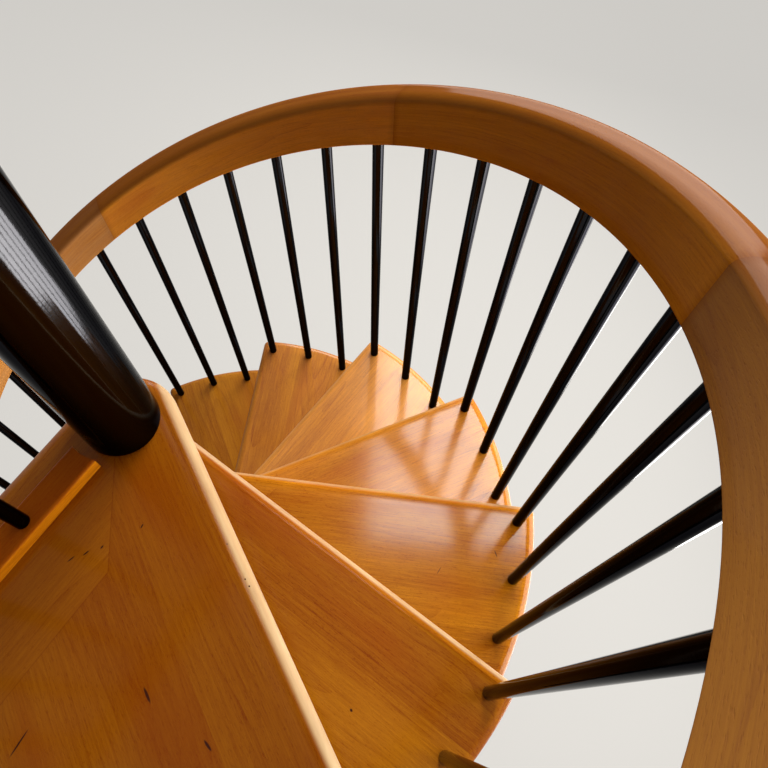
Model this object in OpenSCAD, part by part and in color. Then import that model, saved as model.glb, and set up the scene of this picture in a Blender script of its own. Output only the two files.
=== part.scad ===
// Spiral staircase in beech and black steel.
// The origin is on the floor, at the middle of the post, and +Z is up.
// Going up, the treads turn clockwise as seen from above, and the landing points along -Y.
// All sizes are in millimetres and all turns in degrees.

/* [Flight] */
// Height from the top of one tread to the top of the next
riser = 200; // [190:1:212]
// Turn from one tread to the next
step_angle = 29.6; // [28:0.1:31]
// Turn from the front edge of the landing to the front edge of the top tread
first_turn = 25.5; // [24:0.1:28]

/* [Treads] */
// Radius of the outer edge of the treads
tread_r = 650; // [630:5:720]
// Thickness of the treads and the landing
tread_t = 40; // [38:1:45]
// Distance from the middle of the post to the line of a tread's front edge
nosing_offset = 66; // [64:1:74]
// How far a tread reaches back under the next one, at the rim
tread_overlap = 40; // [30:1:50]
// Radius of the outer corners of the treads and the landing
corner_r = 14; // [8:1:24]
// Radius on the upper and lower edges of the treads and the landing
edge_r = 18; // [4:1:18]

/* [Landing] */
// Turn between the front edge and the back edge of the landing
landing_span = 61.6; // [56:0.1:66]
// Distance from the middle of the post to the landing's straight outer edge
landing_reach = 650; // [640:5:700]
// Distance from the middle of the post to the line of the landing's front edge
landing_offset = 74; // [66:1:80]

/* [Post] */
// Outer diameter of the post
post_d = 106; // [100:1:120]
// Wall of the post's sleeves
post_wall = 3; // [2:0.5:5]
// Thickness of the discs that close the sleeves
disc_t = 6; // [4:1:10]
// Outer diameter of the tube that runs up inside the post
core_d = 60; // [48:1:70]
// Wall of that tube
core_wall = 4; // [3:0.5:6]
// Height of the post above the landing
post_rise = 1040; // [1010:5:1150]
// Thickness of the cap on the post, at its rim
cap_t = 8; // [5:1:12]
// Height of the cap's domed top
cap_dome = 6; // [3:1:12]

/* [Base] */
// Diameter of the base plate
base_d = 260; // [220:5:320]
// Thickness of the base plate
base_t = 12; // [8:1:16]
// Diameter of the circle of floor bolts
bolt_circle = 210; // [180:5:212]
// Number of floor bolts
bolt_count = 4; // [3:1:8]
// Diameter of the holes for the floor bolts
bolt_hole = 14; // [10:1:18]

/* [Balusters] */
// Diameter of the balusters
baluster_d = 20; // [16:1:24]
// Radius of the circle on which the balusters of the flight stand
baluster_r = 616; // [600:1:618]
// Distance of a tread's first baluster behind the front edge
baluster_setback = 33; // [26:1:40]
// Balusters on each tread
balusters_each = 3; // [2:1:4]
// Depth of the sockets in the handrails
socket_depth = 16; // [12:1:24]

/* [Handrail] */
// Width of the handrail
rail_w = 42; // [38:1:54]
// Height of the handrail
rail_h = 105; // [70:1:120]
// Radius on the upper edges of the handrail
rail_top_r = 14; // [6:1:18]
// Radius on the lower edges of the handrail
rail_low_r = 6; // [3:1:10]
// Height of the handrail's underside above a tread, at the tread's first baluster
rail_under = 795; // [760:1:860]
// Length of the handrail past its first and last balusters
rail_tail = 64; // [50:1:90]

/* [Guard on the landing] */
// Height of the guard rail's top above the landing
guard_top = 1000; // [960:5:1100]
// Width of the kerb that the guard stands on
kerb_w = 40; // [34:1:50]
// Height of the kerb
kerb_h = 25; // [18:1:35]
// Distance of the kerb's middle line in front of the middle of the post
kerb_offset = 3; // [0:1:8]
// Distance from the post to the end of the kerb
kerb_gap = 16; // [10:1:24]
// Distance from the middle of the post to the guard's first baluster
guard_first = 175; // [150:1:190]
// Spacing of the guard's balusters
guard_pitch = 106; // [90:1:120]
// Number of balusters in the guard
guard_count = 6; // [3:1:6]
// Length of the guard rail past its last baluster
guard_tail = 45; // [30:1:60]

/* [Bracket under the landing] */
// Length of the steel angle that fixes the landing to the upper floor
bracket_l = 560; // [400:10:640]
// Width of the leg under the landing
bracket_leg = 60; // [50:1:80]
// Height of the leg against the floor's edge
bracket_drop = 110; // [90:1:140]
// Thickness of the steel
bracket_t = 6; // [4:1:8]
// Spacing of the wall bolts
bracket_pitch = 400; // [300:10:400]
// Distance of the wall bolts below the landing
bracket_bolt_drop = 70; // [50:1:75]
// Diameter of the holes for the wall bolts
bracket_hole = 12; // [8:1:14]

/* [Hidden] */

// Treads below the landing, one node each
tread_count = 12;
// Lengths of handrail, glued end to end, one node each
rail_lengths = 6;
// Treads that one length of handrail passes over
treads_per_length = 2;
// Place of each joint in the handrail, as a share of the balusters' spacing
joint_shift = 0.42;
// Turn of the handrail between two rings of its sweep, at most
rail_facet = 3.7;
// Steps in the rounding of a board's long edges, in its hub end, its rim and its corners
edge_steps = 3;
hub_steps = 10;
rim_steps = 8;
corner_facets = 16;
// How far a socket's cutter reaches below the rail, to clear its slope
socket_lead = 20;
// Radii on the kerb's upper and lower edges
kerb_top_r = 5;
kerb_low_r = 1;
// Running clearance between a tube and what is threaded on it, and at a socket
fit = 0.3;
// Facets of round shapes
$fn = 64;

beech = [0.78, 0.50, 0.24];
beech_light = [0.84, 0.58, 0.31];
black = [0.06, 0.06, 0.07];
steel = [0.45, 0.46, 0.48];

landing_top = (tread_count + 1) * riser;
landing_dir = -90 + landing_span / 2;
landing_back = -90 - landing_span / 2;
hub_r = nosing_offset;
bore_r = core_d / 2 + fit;
rim_turn = asin(nosing_offset / tread_r);
lap_turn = asin(tread_overlap / tread_r);
tread_span = step_angle + lap_turn - 2 * rim_turn;
baluster_turn = step_angle / balusters_each;
setback_turn = asin((nosing_offset - baluster_setback) / baluster_r);
rail_drop_turn = riser / step_angle;
rail_tail_turn = rail_tail / baluster_r * 180 / PI;
post_top = landing_top + post_rise;
guard_under = landing_top + guard_top - rail_h;
guard_end = guard_first + (guard_count - 1) * guard_pitch + guard_tail;
landing_baluster_dir = landing_dir + first_turn - step_angle + setback_turn;

// Direction of the front edge of tread n, counted from the floor
function tread_dir(n) = landing_dir + first_turn + (tread_count - n) * step_angle;
// Direction of baluster b of tread n, counted from the tread's front edge
function baluster_dir(n, b) = tread_dir(n) + setback_turn - b * baluster_turn;
// Height of the handrail's underside where it passes over the direction a
function rail_z(a) = riser + rail_under + (baluster_dir(1, 0) - a) * rail_drop_turn;
// Points of an arc about c, from angle a0 to angle a1, in n steps
function arc(c, r, a0, a1, n) =
    [for (i = [0:n]) let (a = a0 + (a1 - a0) * i / n) c + r * [cos(a), sin(a)]];
// Outline of a rail or kerb: its middle is at x = 0 and its underside at y = 0
function bar_outline(w, h, top_r, low_r) = concat(
    arc([w / 2 - low_r, low_r], low_r, -90, 0, 3),
    arc([w / 2 - top_r, h - top_r], top_r, 0, 90, 4),
    arc([top_r - w / 2, h - top_r], top_r, 90, 180, 4),
    arc([low_r - w / 2, low_r], low_r, 180, 270, 3)
);
// Direction where handrail length m ends and the next one starts
function joint_dir(m) =
    m == 0 ? baluster_dir(1, 0) + rail_tail_turn
    : m == rail_lengths ? landing_baluster_dir - rail_tail_turn
    : baluster_dir(m * treads_per_length + 1, joint_shift);

module tread_outline() {
    polygon(concat(
        arc([0, 0], hub_r, 90, 270 - tread_span, hub_steps),
        arc([0, 0], tread_r, -tread_span - rim_turn, rim_turn, rim_steps)
    ));
}

module landing_outline() {
    half = landing_span / 2;
    shift = (landing_offset - hub_r) / 2;
    front_l = (landing_reach + landing_offset * sin(half)) / cos(half);
    back_l = (landing_reach + hub_r * sin(half)) / cos(half);
    back_far = back_l * [cos(landing_span), -sin(landing_span)]
        - hub_r * [sin(landing_span), cos(landing_span)];
    polygon(concat(
        arc(shift * [tan(half), 1], hub_r + shift, 90, 270 - landing_span, hub_steps),
        [back_far, [front_l, landing_offset]]
    ));
}

// A board whose outer corners and long edges are rounded
module rounded_board() {
    hull()
        for (i = [0:edge_steps])
            let (a = 90 * i / edge_steps, rise = edge_r * (1 - cos(a)))
                translate([0, 0, rise])
                    linear_extrude(tread_t - 2 * rise)
                        offset(delta = edge_r * (sin(a) - 1))
                            offset(r = corner_r, $fn = corner_facets)
                                offset(delta = -corner_r)
                                    children();
}

module core_bore(z, h) {
    translate([0, 0, z - 1])
        cylinder(h = h + 2, r = bore_r);
}

module sleeve(z, h) {
    difference() {
        translate([0, 0, z])
            cylinder(h = h, d = post_d);
        translate([0, 0, z + disc_t])
            cylinder(h = h - 2 * disc_t, d = post_d - 2 * post_wall);
        core_bore(z, h);
    }
}

module base_plate() {
    color(black)
        difference() {
            cylinder(h = base_t, d = base_d);
            for (i = [0:bolt_count - 1])
                rotate([0, 0, 360 * (i + 0.5) / bolt_count])
                    translate([bolt_circle / 2, 0, -1])
                        cylinder(h = base_t + 2, d = bolt_hole);
        }
}

module core_tube() {
    color(steel)
        translate([0, 0, base_t])
            difference() {
                cylinder(h = post_top - base_t, d = core_d);
                translate([0, 0, -1])
                    cylinder(h = post_top - base_t + 2, d = core_d - 2 * core_wall);
            }
}

module post_sleeves() {
    color(black) {
        sleeve(base_t, riser - tread_t - base_t);
        for (n = [1:tread_count])
            sleeve(n * riser, riser - tread_t);
    }
}

module upper_post() {
    color(black)
        sleeve(landing_top, post_rise);
}

module post_cap() {
    dome_r = (pow(post_d / 2, 2) + pow(cap_dome, 2)) / (2 * cap_dome);
    dome_turn = asin(post_d / 2 / dome_r);
    color(black)
        translate([0, 0, post_top])
            rotate_extrude()
                polygon(concat(
                    [[0, 0], [post_d / 2, 0]],
                    arc([0, cap_t + cap_dome - dome_r], dome_r, 90 - dome_turn, 90, 6)
                ));
}

module tread(n) {
    color(n % 2 == 0 ? beech : beech_light)
        difference() {
            rotate([0, 0, tread_dir(n)])
                translate([0, 0, n * riser - tread_t])
                    rounded_board()
                        tread_outline();
            core_bore(n * riser - tread_t, tread_t);
        }
}

module landing() {
    color(beech)
        difference() {
            rotate([0, 0, landing_dir])
                translate([0, 0, landing_top - tread_t])
                    rounded_board()
                        landing_outline();
            core_bore(landing_top - tread_t, tread_t);
        }
}

// A straight bar that runs out from the post along the back of the landing
module guard_bar(z, w, h, top_r, low_r, start_r) {
    difference() {
        rotate([0, 0, landing_back])
            translate([0, kerb_offset, z])
                rotate([90, 0, 90])
                    linear_extrude(guard_end)
                        polygon(bar_outline(w, h, top_r, low_r));
        translate([0, 0, z - 1])
            cylinder(h = h + 2, r = start_r);
    }
}

module at_guard_baluster(i) {
    rotate([0, 0, landing_back])
        translate([guard_first + i * guard_pitch, kerb_offset, 0])
            children();
}

module landing_kerb() {
    color(beech_light)
        guard_bar(landing_top, kerb_w, kerb_h, kerb_top_r, kerb_low_r, post_d / 2 + kerb_gap);
}

module landing_bracket() {
    top = landing_top - tread_t;
    color(black)
        difference() {
            translate([-bracket_l / 2, -landing_reach, top - bracket_drop])
                cube([bracket_l, bracket_leg, bracket_drop]);
            translate([-bracket_l / 2 - 1, bracket_t - landing_reach, top - bracket_drop - 1])
                cube([bracket_l + 2, bracket_leg, bracket_drop - bracket_t + 1]);
            for (side = [-1, 1])
                translate([side * bracket_pitch / 2, -landing_reach - 1, top - bracket_bolt_drop])
                    rotate([-90, 0, 0])
                        cylinder(h = bracket_t + 2, d = bracket_hole);
        }
}

// A baluster of the flight in direction a, from height z up into its socket
module flight_baluster(a, z) {
    rotate([0, 0, a])
        translate([baluster_r, 0, z])
            cylinder(h = rail_z(a) + socket_depth - z, d = baluster_d);
}

module balusters(n) {
    color(black)
        for (b = [0:balusters_each - 1])
            flight_baluster(baluster_dir(n, b), n * riser);
}

module landing_baluster() {
    color(black)
        flight_baluster(landing_baluster_dir, landing_top);
}

module guard_balusters() {
    foot = landing_top + kerb_h;
    color(black)
        for (i = [0:guard_count - 1])
            at_guard_baluster(i)
                translate([0, 0, foot])
                    cylinder(h = guard_under + socket_depth - foot, d = baluster_d);
}

// The blind hole that a baluster's top end goes into
module rail_socket(z) {
    translate([0, 0, z - socket_lead])
        cylinder(h = socket_lead + socket_depth + fit, d = baluster_d + 2 * fit);
}

module flight_socket(a) {
    rotate([0, 0, a])
        translate([baluster_r, 0, 0])
            rail_socket(rail_z(a));
}

// The handrail's outline swept up its helix, from direction a0 down to direction a1
module rail_sweep(a0, a1) {
    outline = bar_outline(rail_w, rail_h, rail_top_r, rail_low_r);
    sides = len(outline);
    steps = ceil((a0 - a1) / rail_facet);
    points = [
        for (i = [0:steps])
            let (a = a0 + (a1 - a0) * i / steps)
                for (p = outline)
                    [(baluster_r + p.x) * cos(a), (baluster_r + p.x) * sin(a), rail_z(a) + p.y]
    ];
    skin = [
        for (i = [0:steps - 1], j = [0:sides - 1])
            let (k = (j + 1) % sides, low = i * sides, up = low + sides)
                each [[low + j, up + j, up + k], [low + j, up + k, low + k]]
    ];
    ends = [
        [for (j = [0:sides - 1]) j],
        [for (j = [sides - 1:-1:0]) steps * sides + j]
    ];
    polyhedron(points, concat(skin, ends));
}

module handrail(m) {
    from = joint_dir(m - 1);
    to = joint_dir(m);
    color(m % 2 == 0 ? beech : beech_light)
        difference() {
            rail_sweep(from, to);
            for (n = [1:tread_count], b = [0:balusters_each - 1])
                let (a = baluster_dir(n, b))
                    if (a < from && a > to)
                        flight_socket(a);
            if (m == rail_lengths)
                flight_socket(landing_baluster_dir);
        }
}

module guard_rail() {
    color(beech)
        difference() {
            guard_bar(guard_under, rail_w, rail_h, rail_top_r, rail_low_r, post_d / 2 + fit);
            for (i = [0:guard_count - 1])
                at_guard_baluster(i)
                    rail_socket(guard_under);
        }
}

base_plate();
core_tube();
post_sleeves();
upper_post();
post_cap();
tread(1);  // tread_01
tread(2);  // tread_02
tread(3);  // tread_03
tread(4);  // tread_04
tread(5);  // tread_05
tread(6);  // tread_06
tread(7);  // tread_07
tread(8);  // tread_08
tread(9);  // tread_09
tread(10);  // tread_10
tread(11);  // tread_11
tread(12);  // tread_12
landing();
landing_kerb();
landing_bracket();
balusters(1);  // balusters_01
balusters(2);  // balusters_02
balusters(3);  // balusters_03
balusters(4);  // balusters_04
balusters(5);  // balusters_05
balusters(6);  // balusters_06
balusters(7);  // balusters_07
balusters(8);  // balusters_08
balusters(9);  // balusters_09
balusters(10);  // balusters_10
balusters(11);  // balusters_11
balusters(12);  // balusters_12
landing_baluster();
handrail(1);  // handrail_1
handrail(2);  // handrail_2
handrail(3);  // handrail_3
handrail(4);  // handrail_4
handrail(5);  // handrail_5
handrail(6);  // handrail_6
guard_balusters();
guard_rail();
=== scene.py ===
"""Spiral staircase in lacquered beech and black steel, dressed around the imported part.

The frame's nodes give the place of every piece. Lengths are in metres and turns in degrees, the
origin is on the floor at the middle of the post, and +Z is up.
"""

import logging
import math
from dataclasses import dataclass, field
from enum import Enum
from typing import Dict, List, Optional, Sequence, Tuple, Union

import bmesh
import bpy
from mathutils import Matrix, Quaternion, Vector


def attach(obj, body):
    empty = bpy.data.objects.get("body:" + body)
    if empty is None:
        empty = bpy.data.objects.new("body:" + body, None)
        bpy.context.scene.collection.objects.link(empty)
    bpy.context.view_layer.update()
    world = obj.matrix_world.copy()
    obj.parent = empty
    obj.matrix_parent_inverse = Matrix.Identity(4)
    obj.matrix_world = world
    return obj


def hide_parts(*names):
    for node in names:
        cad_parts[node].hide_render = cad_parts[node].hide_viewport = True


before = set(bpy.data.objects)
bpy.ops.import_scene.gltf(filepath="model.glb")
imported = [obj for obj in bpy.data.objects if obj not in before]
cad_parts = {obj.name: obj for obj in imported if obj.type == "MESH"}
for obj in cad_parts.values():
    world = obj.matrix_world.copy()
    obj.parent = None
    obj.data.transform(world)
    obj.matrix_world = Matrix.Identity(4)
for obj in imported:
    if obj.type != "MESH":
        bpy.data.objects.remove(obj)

LOG = logging.getLogger("staircase")
Point = Tuple[float, float, float]
Flat = Tuple[float, float]
Colour = Tuple[float, float, float]
Socket = bpy.types.NodeSocket
Value = Union[float, int, str, Sequence[float], Socket]


class Slot(Enum):
    """Material slots of the record."""

    BEECH = "beech"
    RAIL = "rail_beech"
    BLACK = "black_gloss"
    STEEL = "bare_steel"


class Layup(Enum):
    """How the staves of a wooden piece are glued together."""

    SIDE_BY_SIDE = 1
    LAYERED = 2


# Sizes that the pieces share


@dataclass(frozen=True)
class Flight:
    """Sizes and directions of the whole staircase, the same as the part's."""

    riser: float = 0.200
    step_angle: float = 29.6
    first_turn: float = 25.5
    tread_count: int = 12
    board_t: float = 0.040
    nosing_offset: float = 0.066
    landing_span: float = 61.6
    landing_reach: float = 0.650
    landing_offset: float = 0.074
    base_t: float = 0.012
    post_r: float = 0.053
    core_r: float = 0.0303
    baluster_r: float = 0.616
    baluster_setback: float = 0.033
    balusters_each: int = 3
    rod_r: float = 0.010
    socket_depth: float = 0.016
    rail_w: float = 0.042
    rail_h: float = 0.105
    rail_top_r: float = 0.014
    rail_low_r: float = 0.006
    rail_end_r: float = 0.006
    rail_under: float = 0.795
    rail_tail: float = 0.064
    rail_lengths: int = 6
    joint_shift: float = 0.42

    @property
    def landing_top(self) -> float:
        """Height of the landing's upper face."""
        return (self.tread_count + 1) * self.riser

    @property
    def landing_dir(self) -> float:
        """Direction of the landing's front edge."""
        return -90 + self.landing_span / 2

    @property
    def landing_back(self) -> float:
        """Direction of the landing's back edge."""
        return -90 - self.landing_span / 2

    @property
    def baluster_turn(self) -> float:
        """Turn from one baluster of the flight to the next."""
        return self.step_angle / self.balusters_each

    @property
    def setback_turn(self) -> float:
        """Turn from a tread's front edge to its first baluster."""
        reach = (self.nosing_offset - self.baluster_setback) / self.baluster_r
        return math.degrees(math.asin(reach))

    @property
    def landing_baluster_dir(self) -> float:
        """Direction of the baluster that stands on the landing."""
        return self.landing_dir + self.first_turn - self.step_angle + self.setback_turn

    def tread_dir(self, n: int) -> float:
        """Direction of the front edge of tread n, counted from the floor."""
        return self.landing_dir + self.first_turn + (self.tread_count - n) * self.step_angle

    def baluster_dir(self, n: int, b: float) -> float:
        """Direction of baluster b of tread n."""
        return self.tread_dir(n) + self.setback_turn - b * self.baluster_turn

    def rail_z(self, direction: float) -> float:
        """Height of the handrail's underside over a direction."""
        rise = (self.baluster_dir(1, 0) - direction) * self.riser / self.step_angle
        return self.riser + self.rail_under + rise

    def joint_dir(self, m: int) -> float:
        """Direction where handrail length m ends and the next one starts."""
        tail = math.degrees(self.rail_tail / self.baluster_r)
        if m == 0:
            return self.baluster_dir(1, 0) + tail
        if m == self.rail_lengths:
            return self.landing_baluster_dir - tail
        return self.baluster_dir(2 * m + 1, self.joint_shift)


# Node trees


class Graph:
    """A node tree with short calls for its nodes, values and links."""

    def __init__(self, tree: bpy.types.NodeTree) -> None:
        """Wraps a tree.

        Args:
            tree: the shader or geometry node tree to build in.
        """
        self.tree = tree

    def node(
        self, kind: str, inputs: Optional[Dict[Union[str, int], Value]] = None, **settings: object
    ) -> bpy.types.Node:
        """Adds a node, sets its properties and feeds its inputs.

        Args:
            kind: Blender's name of the node type.
            inputs: what goes into its sockets, by their names or numbers.
            settings: properties of the node.

        Returns:
            The new node.
        """
        made = self.tree.nodes.new(kind)
        for name, value in settings.items():
            setattr(made, name, value)
        for key, value in (inputs or {}).items():
            self.feed(made.inputs[key], value)
        return made

    def feed(self, socket: Socket, value: Value) -> None:
        """Links a socket to another one, or sets its value."""
        if isinstance(value, Socket):
            self.tree.links.new(value, socket)
        else:
            socket.default_value = value

    def math(self, operation: str, *values: Value, clamp: bool = False) -> Socket:
        """Adds a Math node and returns its result."""
        inputs = dict(enumerate(values))
        return self.node("ShaderNodeMath", inputs, operation=operation, use_clamp=clamp).outputs[0]

    def vector(self, operation: str, *values: Value) -> Socket:
        """Adds a Vector Math node and returns its result."""
        inputs = dict(enumerate(values))
        return self.node("ShaderNodeVectorMath", inputs, operation=operation).outputs[0]

    def split(self, value: Value) -> List[Socket]:
        """Returns the three components of a vector."""
        return list(self.node("ShaderNodeSeparateXYZ", {0: value}).outputs)

    def join(self, x: Value, y: Value, z: Value) -> Socket:
        """Returns a vector made of three components."""
        return self.node("ShaderNodeCombineXYZ", {0: x, 1: y, 2: z}).outputs[0]

    def remap(self, value: Value, low: Value, high: Value) -> Socket:
        """Maps low..high smoothly to 0..1, and holds it beyond. Low may be above high."""
        inputs = {0: value, 1: low, 2: high}
        return self.node("ShaderNodeMapRange", inputs, interpolation_type="SMOOTHSTEP").outputs[0]

    def spread(self, share: Socket, limits: Flat) -> Socket:
        """Maps 0..1 to the range between two limits."""
        low, high = limits
        return self.math("MULTIPLY_ADD", share, high - low, low)

    def mix(self, factor: Value, a: Value, b: Value) -> Socket:
        """Returns a blend of two colours, each a socket or its red, green and blue."""
        a, b = (colour if isinstance(colour, Socket) else (*colour, 1.0) for colour in (a, b))
        # A Mix node has sockets for each kind of value, and these numbers are the colours'
        return self.node("ShaderNodeMix", {0: factor, 6: a, 7: b}, data_type="RGBA").outputs[2]

    def mix_vectors(self, factor: Value, a: Value, b: Value) -> Socket:
        """Returns a blend of two vectors: a where the factor is 0, and b where it is 1."""
        return self.node("ShaderNodeMix", {0: factor, 4: a, 5: b}, data_type="VECTOR").outputs[1]


@dataclass(frozen=True)
class Pattern:
    """A noise: its features per metre along each axis, its octaves and how strong the finer ones are.

    The limits are the noise's values at which its spots begin and are full.
    """

    stretch: Point
    octaves: float = 2.0
    rough: float = 0.5
    limits: Flat = (0.0, 1.0)


class ShaderGraph(Graph):
    """A material's tree, with the textures that the finishes share."""

    def __init__(self, name: str) -> None:
        """Makes a material with a Principled shader.

        Args:
            name: name of the material.
        """
        self.material = bpy.data.materials.new(name)
        self.material.use_nodes = True
        super().__init__(self.material.node_tree)
        self.shader = self.tree.nodes["Principled BSDF"]

    def set(self, **values: Value) -> None:
        """Feeds the shader's inputs, named with underscores for spaces."""
        for name, value in values.items():
            self.feed(self.shader.inputs[name.replace("_", " ")], value)

    def attribute(self, name: str) -> Socket:
        """Returns the vector that a mesh stores as a named attribute."""
        return self.node("ShaderNodeAttribute", attribute_name=name).outputs["Vector"]

    def noise(self, where: Value, pattern: Pattern) -> Socket:
        """Returns a pattern's noise at a place in metres, from 0 to 1 and mostly near 0.5."""
        place = self.vector("MULTIPLY", where, pattern.stretch)
        inputs = {"Vector": place, "Scale": 1.0, "Detail": pattern.octaves, "Roughness": pattern.rough}
        return self.node("ShaderNodeTexNoise", inputs).outputs[0]

    def swing(self, where: Value, pattern: Pattern) -> Socket:
        """Returns a pattern's noise, moved so that it swings about 0."""
        return self.math("SUBTRACT", self.noise(where, pattern), 0.5)

    def spots(self, where: Value, pattern: Pattern) -> Socket:
        """Returns a pattern's spots, from 0 outside them to 1 inside."""
        return self.remap(self.noise(where, pattern), *pattern.limits)

    def bump(self, height: Value, distance: float) -> Socket:
        """Returns a normal that follows a height of up to distance metres."""
        inputs = {"Strength": 1.0, "Distance": distance, "Height": height}
        return self.node("ShaderNodeBump", inputs).outputs[0]


class GeometryGraph(Graph):
    """A geometry node tree with named inputs that a modifier can set."""

    def __init__(self, name: str) -> None:
        """Starts the tree with a geometry input and output.

        Args:
            name: name of the tree.
        """
        super().__init__(bpy.data.node_groups.new(name, "GeometryNodeTree"))
        self.tree.interface.new_socket("Geometry", in_out="OUTPUT", socket_type="NodeSocketGeometry")
        self.tree.interface.new_socket("Geometry", in_out="INPUT", socket_type="NodeSocketGeometry")
        self.source = self.node("NodeGroupInput")
        self.identifiers: Dict[str, str] = {}

    @property
    def geometry(self) -> Socket:
        """The geometry that the modifier's object brings."""
        return self.source.outputs["Geometry"]

    def value(self, name: str, kind: str = "Float") -> Socket:
        """Adds a named input and returns its socket inside the tree."""
        made = self.tree.interface.new_socket(name, in_out="INPUT", socket_type="NodeSocket" + kind)
        self.identifiers[name] = made.identifier
        return self.source.outputs[name]

    def attribute(self, name: str, kind: str) -> Socket:
        """Returns what the geometry stores as a named attribute."""
        return self.node("GeometryNodeInputNamedAttribute", {"Name": name}, data_type=kind).outputs[0]

    def copies(self, points: Socket, shape: Socket, **inputs: Value) -> Socket:
        """Returns a copy of a shape on each point, with more inputs, such as Scale, by their names."""
        inputs.update(Points=points, Instance=shape)
        return self.node("GeometryNodeInstanceOnPoints", inputs).outputs[0]

    def lift(self, copies: Socket, height: Value) -> Socket:
        """Returns copies that are moved up, each by its own height."""
        inputs = {"Instances": copies, "Translation": self.join(0.0, 0.0, height)}
        return self.node("GeometryNodeTranslateInstances", inputs).outputs[0]

    def finish(self, geometry: Socket) -> None:
        """Ends the tree in Realize Instances and Set Material."""
        plain = self.node("GeometryNodeRealizeInstances", {0: geometry}).outputs[0]
        inputs = {"Geometry": plain, "Material": self.value("Material", "Material")}
        dressed = self.node("GeometryNodeSetMaterial", inputs).outputs[0]
        self.node("NodeGroupOutput", {0: dressed})

    def apply(self, piece: bpy.types.Object, **values: object) -> None:
        """Runs the tree on a piece and turns the result into a plain mesh.

        Args:
            piece: the object that gets the tree's result.
            values: the tree's inputs, named with underscores for spaces.
        """
        modifier = piece.modifiers.new(self.tree.name, "NODES")
        modifier.node_group = self.tree
        for name, value in values.items():
            modifier[self.identifiers[name.replace("_", " ")]] = value
        depsgraph = bpy.context.evaluated_depsgraph_get()
        result = bpy.data.meshes.new_from_object(
            piece.evaluated_get(depsgraph), preserve_all_data_layers=True, depsgraph=depsgraph
        )
        piece.modifiers.remove(modifier)
        result.materials.clear()
        result.materials.append(values["Material"])
        result.polygons.foreach_set("material_index", [0] * len(result.polygons))
        start = piece.data
        piece.data = result
        result.name = piece.name
        bpy.data.meshes.remove(start)


# Meshes

# Distances under which points are one, in a new shape and after a tree or a lathe, and under which
# a face is a sliver
SAME_POINT = 1e-6
SAME_WELDED_POINT = 1e-5
SLIVER = 1e-7

# Angles in degrees from which an edge is sharp: on wood, on round steel and on bolts
WOOD_EDGE = 50.0
ROUND_EDGE = 60.0
BOLT_EDGE = 40.0


def polar(radius: float, turn: float) -> Flat:
    """Returns the point at a distance from the origin, in a direction in degrees."""
    a = math.radians(turn)
    return radius * math.cos(a), radius * math.sin(a)


def circle(radius: float, z: float, sides: int) -> List[Point]:
    """Returns points evenly round the Z axis, at a height."""
    turns = [2 * math.pi * i / sides for i in range(sides)]
    return [(radius * math.cos(a), radius * math.sin(a), z) for a in turns]


@dataclass
class Shape:
    """Points and faces of a mesh in the making."""

    points: List[Point] = field(default_factory=list)
    faces: List[List[int]] = field(default_factory=list)

    def ring(self, points: Sequence[Point]) -> List[int]:
        """Adds a ring of points and returns their numbers."""
        first = len(self.points)
        self.points.extend(points)
        return list(range(first, len(self.points)))

    def bridge(self, low: Sequence[int], high: Sequence[int]) -> None:
        """Joins two rings of the same length by a band of faces."""
        count = len(low)
        for i in range(count):
            k = (i + 1) % count
            self.faces.append([low[i], low[k], high[k], high[i]])

    def mesh(self, name: str) -> bpy.types.Mesh:
        """Returns a mesh of the points, with doubles merged and all faces smooth."""
        made = bpy.data.meshes.new(name)
        made.from_pydata(self.points, [], self.faces)
        bm = bmesh.new()
        bm.from_mesh(made)
        bmesh.ops.remove_doubles(bm, verts=bm.verts, dist=SAME_POINT)
        bmesh.ops.dissolve_degenerate(bm, edges=bm.edges, dist=SLIVER)
        for part in bm.faces:
            part.smooth = True
        bm.to_mesh(made)
        bm.free()
        return made


def add_object(name: str, mesh: bpy.types.Mesh) -> bpy.types.Object:
    """Links a new object with this mesh to the scene and returns it."""
    made = bpy.data.objects.new(name, mesh)
    bpy.context.scene.collection.objects.link(made)
    return made


def even_shading(piece: bpy.types.Object, sharp: float) -> None:
    """Keeps flat faces flat in the shading, between their rounded edges.

    Args:
        piece: the object to shade.
        sharp: angle in degrees from which an edge is sharp.
    """
    piece.data.set_sharp_from_angle(angle=math.radians(sharp))
    modifier = piece.modifiers.new("even_shading", "WEIGHTED_NORMAL")
    modifier.keep_sharp = True
    modifier.weight = 100


def write_vectors(mesh: bpy.types.Mesh, name: str, values: Sequence[Point]) -> None:
    """Stores one vector a point on a mesh."""
    layer = mesh.attributes.new(name, "FLOAT_VECTOR", "POINT")
    layer.data.foreach_set("vector", [number for value in values for number in value])


def publish(piece: bpy.types.Object, slot: Slot, *nodes: str) -> None:
    """Hands a finished piece to the frame.

    Args:
        piece: the object, at the origin, with its place in its mesh.
        slot: not used.
        nodes: CAD nodes that it stands for.
    """
    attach(piece, "root")
    if nodes:
        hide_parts(*nodes)
    LOG.info("%s: %d faces, for %s", piece.name, len(piece.data.polygons), nodes or "no node")


# Finishes


@dataclass(frozen=True)
class Mark:
    """A dark dash in a board, by its place along and behind the front edge, in metres.

    The turn is in degrees from the front edge, and the board is the seed of the one that has it.
    """

    along: float
    across: float
    half_length: float
    half_width: float
    turn: float = 0.0
    board: int = 0


@dataclass(frozen=True)
class Panel:
    """A strip of a board whose grain is turned, bounded by two straight joints.

    A joint is a, b and c of a * along + b * across + c, which is below 0 in the strip. The shift,
    in metres, keeps the strip's staves apart from those beside it.
    """

    turn: float
    joints: Tuple[Point, ...]
    shift: float = 3.0


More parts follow.
